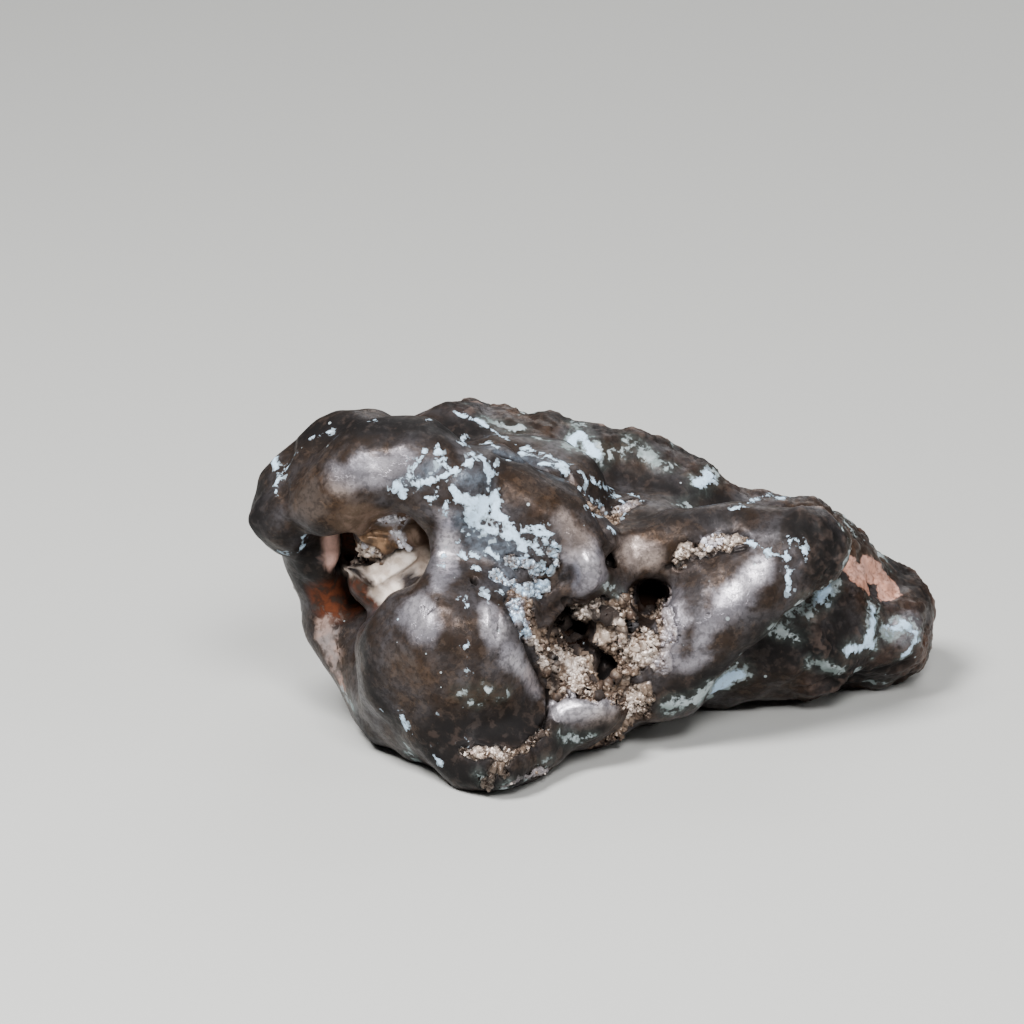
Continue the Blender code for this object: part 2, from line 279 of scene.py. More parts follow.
# The saddle, eaten into crumbs.
EATEN = {
    "left_rim": (15, [(520, 602), (532, 630)]),
    "left_teeth": (12, [(540, 640), (548, 662), (560, 688)]),
    "middle": (19, [(560, 640), (578, 668), (590, 685)]),
    "top": (13, [(566, 610), (600, 612), (628, 610)]),
    "right": (20, [(610, 630), (625, 660), (642, 646)]),
    "right_rim": (8, [(660, 606), (667, 630), (660, 664)]),
    "low": (14, [(600, 688), (618, 694), (640, 696)]),
    "jaw": (8, [(640, 708), (628, 728), (604, 744), (580, 758)]),
    "hole_rim": (6, [(630, 592), (636, 608), (650, 618), (664, 610), (670, 594)]),
}

# Smooth slate-grey film round the crust.
SLATE_FILM = {
    "neck": (13, [(464, 520), (486, 546), (514, 556)]),
    "gap": (9, [(466, 478), (488, 482)]),
    "arm_root": (8, [(402, 484), (440, 470)]),
    "crest": (6, [(488, 448), (520, 458), (556, 466)]),
    "rim": (9, [(504, 574), (518, 600), (528, 632)]),
}

# Crumbs that lie in the creases.
LOOSE_GRAINS = {
    "chin": (8, [(480, 750), (492, 749), (504, 754)]),
    "chin_ridge": (4.5, [(545, 730), (530, 742), (510, 758), (494, 770), (486, 792)]),
    "chin_low": (4, [(552, 770), (530, 776), (505, 786)]),
    "valley": (6, [(588, 500), (600, 512), (612, 524)]),
    "valley_right": (6, [(636, 502), (622, 510), (612, 522)]),
    "crevice": (8, [(680, 560), (686, 551), (700, 551), (716, 543), (742, 541)]),
    "cave_grit": (9, [(356, 556), (366, 552), (376, 558)]),
    "chin_side": (4, [(466, 752), (474, 757)]),
    "chin_spill": (4.5, [(498, 768), (506, 776)]),
    "chin_foot": (6, [(484, 782), (489, 794)]),
}

# Deep holes, sunk into the skin and painted near black as their shade.
HOLES = {
    "left": (11, [(560, 612), (566, 626), (576, 640)]),
    "left_tail": (3.5, [(578, 641), (592, 650), (604, 657)]),
    "right": (11, [(648, 592), (652, 600)]),
    "right_foot": (5, [(642, 606), (640, 616)]),
    "slit": (2.5, [(628, 619), (628, 638)]),
    "low": (6, [(608, 662), (604, 678)]),
    "gap": (4, [(552, 672), (556, 690)]),
    "under_knob": (2, [(556, 612), (566, 601), (583, 600)]),
    "by_finger": (4, [(606, 549), (610, 565)]),
    "tiny_pit": (2.5, [(474, 579), (475, 582)]),
}

# Hairline creases in the rolls: a shallow bump, with painted shade along them.
CREASES = {
    "belly_hook": (0.9, [(438, 596), (434, 610), (424, 617), (400, 617)]),
    "belly_hook_2": (0.6, [(412, 597), (420, 604), (427, 611)]),
    "pit_crack": (0.8, [(473, 585), (466, 593), (456, 603)]),
    "belly_dash": (0.7, [(484, 668), (488, 684), (492, 690)]),
    "belly_line": (0.6, [(463, 650), (476, 654), (500, 655)]),
    "brow_line": (0.7, [(512, 468), (540, 478), (566, 494), (584, 512)]),
    "wing_line": (0.7, [(676, 640), (690, 624), (704, 620), (716, 606)]),
    "jaw_line": (0.8, [(556, 722), (572, 732), (590, 728)]),
    "ring_heart": (0.8, [(496, 616), (498, 634)]),
}

# Rolls strewn with small pale flecks.
SPECKLED = {
    "wing": (16, [(690, 640), (716, 606), (752, 566)]),
    "wing_end": (12, [(790, 545), (806, 556)]),
    "belly_band": (12, [(440, 690), (500, 698)]),
    "belly_left": (14, [(400, 690), (430, 720)]),
    "neck_low": (16, [(500, 560), (530, 590)]),
    "neck": (14, [(446, 530), (450, 570), (470, 600)]),
    "brow_right": (12, [(560, 512), (586, 532)]),
    "crest": (10, [(500, 440), (560, 462)]),
    "slope": (20, [(610, 450), (650, 470), (690, 500)]),
    "arm_top": (10, [(330, 430), (420, 425)]),
    "chin": (14, [(470, 740), (520, 742)]),
}

# Where the crumbs are bright cream, lilac, or worn to a smooth tan floor.
CREAM_CRUMBS = {
    "band": (9, [(578, 611), (592, 609), (606, 613), (619, 622), (623, 636), (628, 648), (637, 658)]),
    "teeth": (6.5, [(533, 643), (541, 659), (552, 664)]),
    "centre": (9, [(562, 652), (576, 657), (577, 672), (583, 686)]),
    "lone": (2.5, [(631, 600), (633, 601)]),
    "right": (7, [(645, 622), (649, 640), (650, 656)]),
    "low": (8, [(634, 684), (638, 702), (628, 714)]),
    "chin": (7, [(480, 749), (492, 748), (501, 752)]),
    "crevice": (5, [(680, 560), (684, 550), (698, 552), (722, 541), (740, 541)]),
    "valley": (4, [(594, 500), (606, 508), (618, 506)]),
    "cave_grit": (9, [(356, 556), (366, 552), (376, 558)]),
}

LILAC_CRUMBS = {
    "right_rim": (11, [(668, 596), (676, 622), (672, 652), (662, 672)]),
    "left_rim": (8, [(516, 604), (522, 622), (530, 636)]),
    "chin_low": (7, [(552, 770), (530, 776), (505, 786), (486, 796)]),
    "valley": (5, [(640, 500), (622, 508), (600, 506)]),
}

TAN_FLOOR = {
    "middle": (8, [(590, 628), (603, 638)]),
    "low": (6, [(598, 656), (594, 666)]),
}

# Bare copper, salmon pink.
RAW_COPPER = {
    "boulder_eye": (15, [(851, 567), (858, 574), (864, 582)]),
    "boulder_patch": (14, [(868, 568), (880, 576), (890, 586), (884, 592)]),
}

# Worn pinkish metal.
PINK_METAL = {
    "below_cave": (13, [(326, 628), (330, 652)]),
    "below_cave_low": (8, [(336, 672), (344, 690)]),
}

# Smooth cream mineral in the cave, on its fold; its pale colour is partly a painted highlight.
CREAM_AND_HIGHLIGHT = {
    "fold_point": (5, [(346, 568), (356, 571), (368, 576)]),
    "fold": (12, [(378, 570), (388, 576), (381, 592)]),
    "fold_right": (11, [(392, 566), (406, 562), (420, 556), (424, 564)]),
    "fold_low": (9, [(384, 586), (394, 590)]),
}

# Golden, brown and rosy metal in the cave, the brown and the rosy lightened as painted light, and red
# oxide in its depth.
GOLDEN_BROWN = {
    "cave_face": (12, [(370, 540), (388, 545)]),
    "cave_grit": (8, [(358, 550), (370, 556)]),
}

# The brown lump in the cave, its colour lightened as painted light where it lies in shade.
COCOA_AND_LIGHT = {
    "cave_lump": (24, [(362, 520), (400, 524), (418, 534)]),
}

# The pink lens in the cave, lightened to pale rose as painted light.
ROSY_AND_LIGHT = {
    "cave_lens": (9, [(332, 538), (334, 561)]),
}

RED_OXIDE = {
    "cave_low": (23, [(330, 597), (352, 602)]),
    "cave_slot": (9, [(347, 536), (348, 562)]),
    "under_fold": (7, [(350, 578), (362, 590), (370, 602)]),
}

# Where the metal is warmer in colour.
WARM_METAL = {
    "finger": (24, [(630, 552), (655, 562)]),
    "overhang": (12, [(636, 568), (662, 572)]),
    "brow": (14, [(520, 480), (548, 500), (580, 535)]),
    "arm": (26, [(306, 495), (334, 506)]),
    "boulder": (22, [(852, 548), (872, 562)]),
    "cave_lump": (26, [(360, 525), (415, 528)]),
    "left_mass": (18, [(332, 650), (345, 690)]),
    "belly_patch": (16, [(402, 664), (420, 672)]),
    "belly_band": (8, [(456, 694), (504, 698)]),
    "jaw": (14, [(600, 728), (640, 716)]),
}

# Where the patina is thin and the metal shows violet-grey; the strokes lie where the rolls catch the
# light, so this is partly a painted highlight.
SATIN_AND_HIGHLIGHT = {
    "arm": (14, [(338, 480), (366, 472), (404, 466)]),
    "neck": (10, [(446, 518), (447, 545), (441, 578)]),
    "belly": (17, [(415, 610), (424, 628)]),
    "crescent": (7, [(506, 650), (520, 664), (534, 690)]),
    "knob": (19, [(584, 558), (592, 574)]),
    "finger": (13, [(630, 552), (650, 556)]),
    "brow": (9, [(560, 520), (572, 530), (582, 542)]),
    "wing": (13, [(724, 606), (742, 590), (764, 570)]),
    "wing_left": (9, [(700, 640), (712, 622)]),
    "wing_rim": (8, [(672, 596), (678, 626), (672, 656)]),
    "ring": (8, [(490, 610), (494, 638)]),
    "pebble": (14, [(562, 707), (606, 706)]),
    "fist": (14, [(902, 630), (912, 624)]),
    "wing_patch": (7, [(688, 668), (700, 660)]),
}

# Painted highlights, pale lilac-white, where the rolls catch the light.
PAINTED_HIGHLIGHT = {
    "pebble": (11, [(562, 706), (596, 706)]),
    "knob": (9, [(586, 558), (594, 566)]),
    "ring": (4, [(488, 612), (489, 628), (497, 640), (503, 626)]),
    "neck": (6, [(447, 520), (448, 546), (444, 566)]),
    "belly": (8, [(416, 606), (424, 622)]),
    "wing": (7, [(736, 592), (748, 580), (758, 572)]),
    "arm": (4, [(372, 468), (398, 464)]),
    "crescent": (3, [(512, 658), (526, 672), (534, 688)]),
    "pebble_tail": (4, [(600, 704), (610, 704)]),
}

# Painted shade: where the nugget is turned from the light, its colour is painted near black.
PAINTED_SHADE = {
    "ridge_top": (16, [(400, 404), (450, 402), (500, 404)]),
    "ridge_back": (10, [(540, 412), (600, 428), (660, 440), (700, 460)]),
    "left_side": (24, [(296, 556), (302, 580)]),
    "arm_top": (22, [(310, 430), (380, 424), (430, 428), (470, 430)]),
    "arm_end": (20, [(256, 470), (256, 540)]),
    "arm_under": (8, [(280, 540), (320, 532)]),
    "brow_top": (6, [(500, 462), (540, 470), (570, 486)]),
    "finger_top": (7, [(640, 517), (690, 516), (735, 518)]),
    "wing_tip": (24, [(800, 525), (830, 535), (826, 565)]),
    "wing_low": (16, [(668, 702), (720, 672), (770, 628)]),
    "chin": (24, [(440, 735), (490, 735), (530, 725)]),
    "chin_low": (24, [(430, 752), (460, 775), (520, 790)]),
    "jaw_low": (14, [(560, 745), (600, 730)]),
    "belly_left": (12, [(364, 640), (372, 690), (392, 720)]),
    "left_low": (22, [(350, 720), (380, 750), (410, 780)]),
    "right_shade": (26, [(770, 650), (820, 645), (850, 680)]),
    "right_low": (16, [(850, 672), (900, 665)]),
    "right_back": (12, [(900, 560), (930, 600)]),
    "back_slope": (12, [(600, 470), (640, 480), (680, 492), (730, 500)]),
    "egg": (10, [(262, 505), (266, 530)]),
    "boulder_side": (16, [(836, 600), (842, 630)]),
    "boulder_top": (10, [(880, 545), (905, 580)]),
}

# Small white crystals.
CRYSTALS = {
    "cave_top": (6, [(384, 517), (392, 519), (402, 518)]),
    "cave_side": (5.5, [(395, 535), (401, 542), (406, 549)]),
    "crevice": (8, [(708, 545), (718, 541)]),
    "cave_grit": (3.5, [(365, 547), (372, 550)]),
}

# Grooves and ridges: (half width in squares, height in mm, the route in squares).
RELIEF = {
    "jaw_crack": (4, -1.0, [(549, 688), (549, 712), (545, 727)]),
    "tiny_pit": (3.5, -0.9, [(474, 579), (475, 582)]),
    "by_finger": (5, -1.2, [(606, 549), (610, 565)]),
    "cave_knob_left": (10, 0.6, [(360, 528), (366, 536)]),
    "cave_knob_right": (9, 0.6, [(416, 528), (420, 538)]),
    "cave_face_edge": (4, -0.5, [(366, 532), (390, 534), (396, 550)]),
    "cave_fold_edge": (4, -0.9, [(350, 556), (366, 562), (386, 560), (404, 552)]),
    "cave_fold_ridge": (4, 0.8, [(346, 568), (360, 573), (374, 584)]),
    "cave_fold_ridge_2": (5, 0.6, [(382, 580), (398, 568), (414, 555)]),
    "slit": (3.5, -1.2, [(627, 618), (628, 641)]),
    "low_hole": (7, -1.1, [(608, 662), (604, 678)]),
    "arm_crease": (8, -0.3, [(294, 440), (284, 470), (284, 500)]),
    "arm_lump": (12, 0.25, [(277, 512), (278, 528)]),
    "belly_edge": (5, -0.6, [(508, 598), (526, 640), (543, 680)]),
    "crevice": (5, -0.4, [(668, 568), (690, 560), (716, 551), (744, 547)]),
    "valley": (5, -0.7, [(566, 474), (584, 494), (600, 520), (612, 540)]),
    "ring_left": (3.5, 0.15, [(488, 608), (488, 628), (496, 646)]),
    "ring_right": (3.5, 0.15, [(502, 608), (503, 628), (498, 646)]),
    "pit_ridge_1": (4, 0.5, [(546, 624), (562, 605)]),
    "pit_ridge_2": (3, 0.4, [(552, 634), (566, 616)]),
    "pit_tail": (4, -1.0, [(580, 640), (592, 650), (604, 657)]),
    "cream_band": (6, 0.7, [(578, 611), (606, 613), (620, 624), (625, 646), (636, 657)]),
    "pebble_edge": (4, -0.5, [(556, 720), (551, 706), (562, 696), (600, 696)]),
    "pebble_top": (12, 0.35, [(564, 708), (596, 708)]),
    "knob": (16, 0.6, [(586, 564), (588, 576)]),
    "knob_edge": (4, -0.6, [(566, 600), (580, 606), (604, 598)]),
    "belly_band": (7, 0.2, [(456, 694), (504, 698)]),
    "crest_groove": (4, -0.35, [(496, 452), (530, 464), (560, 476)]),
}

# The zones: name, strokes, how soft their edge is and how much it wobbles, in mm.
ZONES = (
    ("eaten", EATEN, 0.5, 1.0),
    ("grains", LOOSE_GRAINS, 0.4, 1.0),
    ("pebbles", PEBBLES, 0.25, 1.0),
    ("holes", HOLES, 0.25, 0.5),
    ("cream_crumbs", CREAM_CRUMBS, 0.3, 1.0),
    ("lilac_crumbs", LILAC_CRUMBS, 0.5, 1.0),
    ("tan_floor", TAN_FLOOR, 0.4, 0.6),
    ("raw", RAW_COPPER, 0.35, 0.7),
    ("pink", PINK_METAL, 1.3, 0.8),
    ("cream", CREAM_AND_HIGHLIGHT, 0.3, 0.5),
    ("golden", GOLDEN_BROWN, 0.5, 0.8),
    ("cocoa", COCOA_AND_LIGHT, 0.8, 0.8),
    ("rosy", ROSY_AND_LIGHT, 0.3, 0.3),
    ("oxide", RED_OXIDE, 0.9, 0.6),
    ("warm", WARM_METAL, 1.5, 0.8),
    ("film", SLATE_FILM, 0.7, 1.0),
    ("satin_and_highlight", SATIN_AND_HIGHLIGHT, 1.2, 0.8),
    ("painted_highlight", PAINTED_HIGHLIGHT, 0.8, 0.8),
    ("painted_shade", PAINTED_SHADE, 1.5, 0.8),
    ("crystals", CRYSTALS, 0.2, 0.4),
    ("speckled", SPECKLED, 0.9, 1.0),
)


# ---------------------------------------------------------------- work on meshes

def pick(obj):
    """Selects one piece alone and makes it active."""
    bpy.ops.object.select_all(action="DESELECT")
    obj.select_set(True)
    bpy.context.view_layer.objects.active = obj


def in_edit_mode(obj, *steps):
    """Runs mesh operators on a piece in edit mode."""
    pick(obj)
    bpy.ops.object.mode_set(mode="EDIT")
    for step in steps:
        step()
    bpy.ops.object.mode_set(mode="OBJECT")


def modify(obj, kind, **settings):
    """Adds a modifier with these settings and applies it."""
    pick(obj)
    modifier = obj.modifiers.new(kind.title(), kind)
    for name, value in settings.items():
        setattr(modifier, name, value)
    bpy.ops.object.modifier_apply(modifier=modifier.name)


def copy_of(obj, name):
    """A copy of a piece with its own mesh."""
    copy = bpy.data.objects.new(name, obj.data.copy())
    bpy.context.collection.objects.link(copy)
    return copy


def places(obj):
    """The vertices of a piece, one row each."""
    flat = np.empty(len(obj.data.vertices) * 3, np.float32)
    obj.data.vertices.foreach_get("co", flat)
    return flat.reshape(-1, 3).astype(float)


def put(obj, rows):
    """Moves the vertices of a piece to these rows."""
    obj.data.vertices.foreach_set("co", rows.astype(np.float32).ravel())
    obj.data.update()


def outward(obj):
    """The direction that each vertex faces."""
    flat = np.empty(len(obj.data.vertices) * 3, np.float32)
    obj.data.vertex_normals.foreach_get("vector", flat)
    return flat.reshape(-1, 3).astype(float)


def averaged(rows, edges, rounds):
    """Rows of numbers, each evened out with its neighbours over some rounds."""
    count = len(rows)
    ends = np.concatenate((edges[:, 0], edges[:, 1]))
    others = np.concatenate((edges[:, 1], edges[:, 0]))
    share = np.maximum(np.bincount(ends, minlength=count), 1)
    rows = rows.copy()
    for _ in range(rounds):
        for column in range(rows.shape[1]):
            total = np.bincount(ends, weights=rows[others, column], minlength=count)
            rows[:, column] = (rows[:, column] + total / share) / 2
    return rows


def hollowness(obj, rounds):
    """How deep each vertex lies below its surroundings, in mm."""
    edges = np.empty(len(obj.data.edges) * 2, np.int32)
    obj.data.edges.foreach_get("vertices", edges)
    rows = places(obj)
    return ((averaged(rows, edges.reshape(-1, 2), rounds) - rows) * outward(obj)).sum(1)


def eased(values, low, high):
    """0 below low, 1 above high, and a smooth rise between."""
    step = np.clip((values - low) / (high - low), 0, 1)
    return step * step * (3 - 2 * step)


def clouds(rows, size, shift=0.0):
    """Soft noise between about -1 and 1, its lumps size mm across."""
    return np.array([noise.noise(row) for row in (rows / size + shift).tolist()])


def weigh(obj, name, weights):
    """A vertex group that holds these weights, in even steps."""
    steps = np.round(np.clip(weights, 0, 1) * WEIGHT_STEPS).astype(int)
    group = obj.vertex_groups.new(name=name)
    for step in range(1, WEIGHT_STEPS + 1):
        chosen = np.flatnonzero(steps == step)
        if len(chosen):
            group.add(chosen.tolist(), step / WEIGHT_STEPS, "REPLACE")


def raise_by(obj, height, weights, texture=None):
    """Lifts the skin by a height in mm where the weights say, along its normals."""
    weigh(obj, "lift", weights)
    modify(obj, "DISPLACE", strength=height, vertex_group="lift", texture=texture,
           texture_coords="LOCAL", mid_level=0.5 if texture else 0.0)
    obj.vertex_groups.remove(obj.vertex_groups["lift"])


def roughen(obj, forms, weights, **settings):
    """Works cloudy forms into the skin where the weights say."""
    height, width, layers = forms
    texture = bpy.data.textures.new("forms", "CLOUDS")
    texture.noise_scale = width
    texture.noise_depth = layers
    for name, value in settings.items():
        setattr(texture, name, value)
    raise_by(obj, height, weights, texture)


def store(obj, name, values):
    """Keeps one number for each vertex, for the materials to read."""
    layer = obj.data.attributes.new(name, "FLOAT", "POINT")
    layer.data.foreach_set("value", np.ascontiguousarray(values, np.float32))


def read(obj, name):
    """The numbers kept under this name, one for each vertex."""
    flat = np.empty(len(obj.data.vertices), np.float32)
    obj.data.attributes[name].data.foreach_get("value", flat)
    return flat.astype(float)


# ---------------------------------------------------------------- lines of sight

def look_at_square(tree, across, down):
    """Where the camera's line of sight through a square meets the skin, in mm."""
    right = across - VIEW / 2
    below = down - VIEW / 2
    ahead = CAMERA_FOCUS * math.cos(CAMERA_DIP) - below * math.sin(CAMERA_DIP)
    up = -CAMERA_FOCUS * math.sin(CAMERA_DIP) - below * math.cos(CAMERA_DIP)
    return tree.ray_cast(CAMERA_PLACE, Vector((right, ahead, up)).normalized())[0]


def along(route):
    """Squares along a route, a short step apart."""
    for start, end in zip(route, route[1:]):
        steps = max(1, round(math.dist(start, end) / SIGHT_STEP))
        for step in range(steps):
            part = step / steps
            yield [a + (b - a) * part for a, b in zip(start, end)]
    yield list(route[-1])


def trace(tree, strokes):
    """Points on the skin under some strokes, each with its half width in mm."""
    found = []
    for half_width, route in strokes.values():
        for across, down in along(route):
            place = look_at_square(tree, across, down)
            if place is not None:
                found.append((place, half_width * SQUARE))
    return found


def vertex_tree(rows):
    """A search tree over vertices."""
    tree = KDTree(len(rows))
    for index, row in enumerate(rows.tolist()):
        tree.insert(row, index)
    tree.balance()
    return tree


def inside(search, count, traced, margin=REACH):
    """How deep each vertex lies inside the strokes, in mm, and no less than minus the margin."""
    depth = np.full(count, -margin)
    for place, half_width in traced:
        for _, index, away in search.find_range(place, half_width + margin):
            if half_width - away > depth[index]:
                depth[index] = half_width - away
    return depth


# ---------------------------------------------------------------- the worn skin

def worn_skin():
    """A fine-celled copy of the lump, in mm, with its facets eased away."""
    lump = copy_of(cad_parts["nugget"], "worn_skin")
    lump.data.transform(Matrix.Scale(1 / MM, 4))
    in_edit_mode(
        lump,
        lambda: bpy.ops.mesh.select_all(action="SELECT"),
        lambda: bpy.ops.mesh.remove_doubles(threshold=MERGE),
    )
    modify(lump, "SUBSURF", levels=1, render_levels=1)
    modify(lump, "REMESH", mode="VOXEL", voxel_size=SKIN_CELL)
    modify(lump, "SMOOTH", factor=0.5, iterations=SKIN_EASING)
    return lump


def groove(skin, tree):
    """Cuts the cracks and raises the ridges of the show side."""
    search = vertex_tree(places(skin))
    lift = np.zeros(len(skin.data.vertices))
    for half_width, height, route in RELIEF.values():
        reach = half_width * SQUARE
        depth = inside(search, len(lift), trace(tree, {"line": (half_width, route)}), reach)
        lift += height * eased(depth, -GROOVE_LIP * reach, reach)
    tallest = np.abs(lift).max()
    raise_by(skin, tallest, np.maximum(lift, 0) / tallest)
    raise_by(skin, -tallest, np.maximum(-lift, 0) / tallest)


def zones(skin):
    """What the skin is like at each vertex: how hidden, eaten and so on, most of it from 0 to 1."""
    tree = BVHTree.FromObject(skin, bpy.context.evaluated_depsgraph_get())
    groove(skin, tree)
    rows = places(skin)
    search = vertex_tree(rows)
    to_camera = np.array(CAMERA_PLACE) - rows
    to_camera /= np.linalg.norm(to_camera, axis=1)[:, None]
    facing = (outward(skin) * to_camera).sum(1)
    far_back = eased(rows[:, 1], *FAR_BACK)
    far_right = eased(rows[:, 0], *FAR_RIGHT)
    found = {
        "hidden": np.clip(eased(-facing, 0.0, 0.4) + far_back + far_right, 0, 1),
        "shown": eased(facing, 0.05, 0.35),
    }
    wobble = 0.5 * clouds(rows, 1.3, 3.0) + 0.3 * clouds(rows, 0.5, 6.0)
    for name, strokes, soft, loose in ZONES:
        depth = inside(search, len(rows), trace(tree, strokes))
        found[name] = eased(depth + wobble * loose, -soft, soft)
    found["crust"] = inside(search, len(rows), trace(tree, PALE_CRUST))
    found["haze"] = inside(search, len(rows), trace(tree, PALE_HAZE))
    found["crease"] = inside(search, len(rows), trace(tree, CREASES), CREASE_REACH)
    found["bitten"] = np.clip(found["eaten"] + 0.8 * found["grains"] + found["pebbles"], 0, 1)
    return found


def weather(skin, found):
    """Works the zones into the skin: hammered rolls, rough hidden sides, an eaten saddle."""
    rows = places(skin)
    calm = np.clip(1 - found["hidden"] - found["eaten"], 0, 1)
    arm = eased(-rows[:, 0], *ARM_LEFT) * eased(rows[:, 2], *ARM_UP)
    rough = found["hidden"] * (1 - 0.75 * arm)
    roughen(skin, HAMMERED, 0.35 + 0.65 * calm)
    roughen(skin, KNOBBLY, rough)
    roughen(skin, PITTED, rough * eased(clouds(rows, 5.0, 9.0), -0.2, 0.4), noise_type="HARD_NOISE")
    roughen(skin, GRAINY, rough)
    roughen(skin, BITTEN, found["eaten"])
    raise_by(skin, -HOLE_DEPTH, found["holes"])
    raise_by(skin, CRUST_HEIGHT, eased(found["crust"] + 0.3 * clouds(rows, 0.8, 2.0), -0.1, 0.15))
    found["hollow"] = hollowness(skin, 30)
    creep = found["hollow"] * 5.0 + 1.1 * clouds(rows, 6.5, 2.0) + 0.6 * clouds(rows, 2.4, 6.0)
    creep -= 12.0 * (1 - found["hidden"]) + 1.2 * found["shown"]
    creep = (creep - np.quantile(creep, HAZE_SHARE)) * 1.5
    found["haze"] = np.clip(np.maximum(found["haze"], creep), -REACH, 1.0)


# ---------------------------------------------------------------- the eaten saddle

def patch_of(skin, name, wanted):
    """A copy of the part of the skin where wanted is true, with cells half as wide."""
    patch = copy_of(skin, name)
    mesh = patch.data
    mesh.polygons.foreach_set("select", np.zeros(len(mesh.polygons), bool))
    mesh.edges.foreach_set("select", np.zeros(len(mesh.edges), bool))
    mesh.vertices.foreach_set("select", ~wanted)
    in_edit_mode(patch, lambda: bpy.ops.mesh.delete(type="VERT"))
    modify(patch, "SUBSURF", levels=1, render_levels=1)
    return patch


def spread_out(rows, chance, apart, dice):
    """The numbers of some rows, picked by chance, no two of them in the same cell of a grid."""
    order = dice.permutation(np.flatnonzero(dice.random(len(rows)) < chance))
    taken = {}
    for index in order.tolist():
        cell = tuple(np.floor(rows[index] / apart).astype(int).tolist())
        taken.setdefault(cell, index)
    return np.array(list(taken.values()))


def crumbs(patch, size, height, dice):
    """Breaks a patch into tilted crumbs of a size in mm.

    For each vertex it gives the tone of its crumb and how far from the crumb's edge it lies.
    """
    rows = places(patch)
    hearts = rows[spread_out(rows, 1.0, CRUMB_SPACING * size, dice)]
    hearts = hearts[dice.random(len(hearts)) < CRUMBS_KEPT]
    tree = vertex_tree(hearts)
    bent = rows + 0.25 * size * np.array([noise.noise_vector(row) for row in (rows / size).tolist()])
    pairs = [tree.find_n(row, 2) for row in bent.tolist()]
    own = np.array([pair[0][1] for pair in pairs])
    gap = np.array([pair[1][2] - pair[0][2] for pair in pairs]) / size
    tone = dice.random(len(hearts))[own]
    level = dice.random(len(hearts))[own]
    tilt = (dice.normal(0, 0.5, (len(hearts), 3))[own] * (rows - hearts[own])).sum(1) / size
    middle = eased(gap, 0.0, 0.4)
    lift = height * (middle * (0.35 + 0.65 * level + tilt) - 0.55)
    put(patch, rows + outward(patch) * lift[:, None])
    return tone, middle


def eaten_saddle(skin, dice):
    """The crumbly saddle as a closed shell of finer cells, let into the skin at its edge."""
    saddle = patch_of(skin, "eaten_saddle", read(skin, "bitten") > 0.03)
    depth = eased(read(saddle, "bitten"), 0.1, 0.6)
    firm = np.maximum(read(saddle, "tan_floor"), 0.6 * read(saddle, "lilac_crumbs"))
    firm = 1 - 0.8 * np.maximum(firm, 0.5 * read(saddle, "pebbles"))
    crumbs(saddle, CRUMB, CRUMB_HEIGHT * depth * firm, dice)
    fused = 0.8 * eased(clouds(places(saddle), 1.5, 4.0), -0.05, 0.3)
    tone, middle = crumbs(saddle, GRIT, GRIT_HEIGHT * depth * firm * (1 - fused), dice)
    roughen(saddle, GRITTY, depth)
    store(saddle, "tone", tone + (0.5 - tone) * fused)
    store(saddle, "middle", middle + (1 - middle) * fused)
    store(saddle, "sunk", hollowness(saddle, 25))
    lift = -0.14 * (1 - depth) + 0.05 * depth
    put(saddle, places(saddle) + outward(saddle) * lift[:, None])
    modify(saddle, "SOLIDIFY", thickness=SADDLE_WALL, offset=-1.0)
    saddle.data.shade_smooth()
    return saddle


# ---------------------------------------------------------------- grains and crystals

def model_of(*steps):
    """Shapes the primitive just added in edit mode, and gives its corners and its faces."""
    model = bpy.context.object
    in_edit_mode(model, lambda: bpy.ops.mesh.select_all(action="SELECT"), *steps)
    corners = places(model)
    faces = [list(face.vertices) for face in model.data.polygons]
    bpy.data.objects.remove(model)
    return corners, faces


def chip():
    """A broken chip about 1 mm across."""
    bpy.ops.mesh.primitive_ico_sphere_add(subdivisions=1, radius=0.5)
    return model_of(lambda: bpy.ops.transform.vertex_random(offset=0.16, seed=3))


def crystal():
    """A blunt crystal about 1 mm across."""
    bpy.ops.mesh.primitive_cube_add(size=0.8)
    return model_of(
        lambda: bpy.ops.mesh.bevel(offset=0.2, segments=1),
        lambda: bpy.ops.transform.vertex_random(offset=0.05, seed=5),
    )


def scatter(name, model, bed, weights, dice, chance, apart, sink, growth):
    """Many small pieces in one mesh, each turned its own way and sunk a little in its bed."""
    rows = places(bed)
    chosen = spread_out(rows, weights * chance, apart, dice)
    sizes = SMALLEST + growth * dice.random(len(chosen)) ** 2
    corners, faces = model
    points, sides, tints = [], [], []
    for row, normal, size in zip(rows[chosen], outward(bed)[chosen], sizes):
        turn = np.array(Euler(dice.uniform(0, math.tau, 3)).to_matrix())
        stretch = dice.uniform(0.7, 1.25, 3)
        sides.extend([corner + len(points) * len(corners) for corner in face] for face in faces)
        points.append((corners * stretch * size) @ turn.T + row + normal * size * (0.5 - sink))
        tints.append(np.full(len(corners), dice.random()))
    mesh = bpy.data.meshes.new(name)
    mesh.from_pydata(np.concatenate(points).tolist(), [], sides)
    pieces = bpy.data.objects.new(name, mesh)
    bpy.context.collection.objects.link(pieces)
    store(pieces, "tint", np.concatenate(tints))
    return pieces


def loose_grains(saddle, dice):
    """Chips of metal and mineral that lie on the saddle, most of them where it is bright."""
    weights = eased(read(saddle, "bitten"), 0.4, 0.8) * (1 - read(saddle, "holes"))
    weights *= 0.2 + 0.8 * read(saddle, "cream_crumbs")
    return scatter("grains", chip(), saddle, weights, dice, **GRAINS)


def white_crystals(skin, dice):
    """Blunt crystals in the cave and the crevice."""
    weights = eased(read(skin, "crystals"), 0.3, 0.7)
    return scatter("white_crystals", crystal(), skin, weights, dice, **WHITE_CRYSTALS)


# ---------------------------------------------------------------- shader nodes

